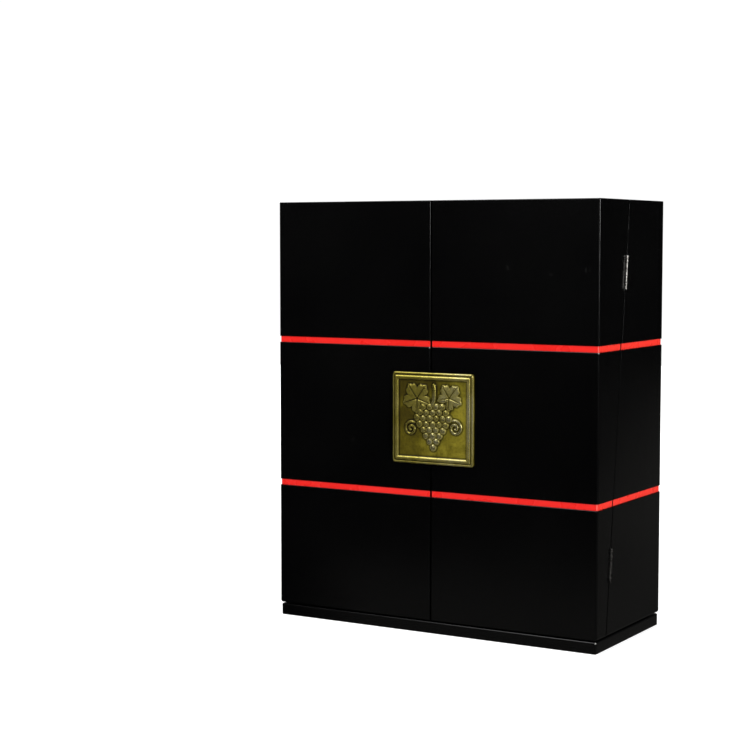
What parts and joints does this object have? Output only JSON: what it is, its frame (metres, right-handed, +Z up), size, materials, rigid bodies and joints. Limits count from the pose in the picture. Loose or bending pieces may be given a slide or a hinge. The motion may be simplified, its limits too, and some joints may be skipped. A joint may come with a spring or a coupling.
{
  "type": "wine bottle box",
  "caption": "Upright black lacquered wooden wine box with wedge-shaped front doors on slanted side hinges, red inlaid bands, square brass badge and plinth.",
  "frame": {"origin": "centre of the plinth's underside, on the surface the box stands on", "axes": "+Z up; the doors and the badge face -Y; +X is the side of the right-hand door seen from the front"},
  "size_m": [0.2876, 0.1275, 0.34],
  "materials": {
    "lacquered_wood": "satin black lacquer over board",
    "red_band": "satin red inlay strip",
    "velour": "short-pile wine-red velour",
    "hinge_nickel": "nickel-plated steel, slightly worn",
    "steel": "bright zinc",
    "dowel_wood": "bare beech",
    "badge_brass": "antique cast brass, patinated field, rubbed edges"
  },
  "bodies": {
    "case": {"plinth": "lacquered_wood", "plinth_spacer": "lacquered_wood", "plinth_screws": "steel", "bottom_board": "lacquered_wood", "seat_board": "lacquered_wood", "back_board": "lacquered_wood", "left_side_board": "lacquered_wood", "right_side_board": "lacquered_wood", "top_board": "lacquered_wood", "left_divider": "velour", "right_divider": "velour", "neck_rest": "velour", "back_lining": "velour", "seat_pads": "velour", "case_dowels": "dowel_wood", "case_magnets": "steel", "case_upper_band": "red_band", "case_lower_band": "red_band", "left_upper_case_leaf": "hinge_nickel", "left_lower_case_leaf": "hinge_nickel", "right_upper_case_leaf": "hinge_nickel", "right_lower_case_leaf": "hinge_nickel", "hinge_pins": "hinge_nickel", "case_hinge_screws": "steel"},
    "left_door": {"left_front_panel": "lacquered_wood", "left_cheek": "lacquered_wood", "left_top_rail": "lacquered_wood", "left_bottom_rail": "lacquered_wood", "left_door_lining": "velour", "left_door_dowels": "dowel_wood", "left_door_magnets": "steel", "left_upper_band": "red_band", "left_lower_band": "red_band", "left_upper_door_leaf": "hinge_nickel", "left_lower_door_leaf": "hinge_nickel", "left_hinge_screws": "steel"},
    "right_door": {"right_front_panel": "lacquered_wood", "right_cheek": "lacquered_wood", "right_top_rail": "lacquered_wood", "right_bottom_rail": "lacquered_wood", "right_door_lining": "velour", "right_door_dowels": "dowel_wood", "right_door_magnets": "steel", "right_upper_band": "red_band", "right_lower_band": "red_band", "right_upper_door_leaf": "hinge_nickel", "right_lower_door_leaf": "hinge_nickel", "right_hinge_screws": "steel", "badge": "badge_brass", "badge_screws": "steel"}
  },
  "joints": [
    {"name": "right_door_hinge", "type": "hinge", "parent": "case", "child": "right_door", "pos_m": [0.1423, -0.02621, 0.17], "axis": [0, 0.1094, 0.994], "range_deg": [0, 180]},
    {"name": "left_door_hinge", "type": "hinge", "parent": "case", "child": "left_door", "pos_m": [-0.1423, -0.02621, 0.17], "axis": [0, -0.1094, -0.994], "range_deg": [0, 180]}
  ],
  "couplings": [
    {"joint": "left_door_hinge", "follows": "right_door_hinge", "ratio": 1}
  ]
}
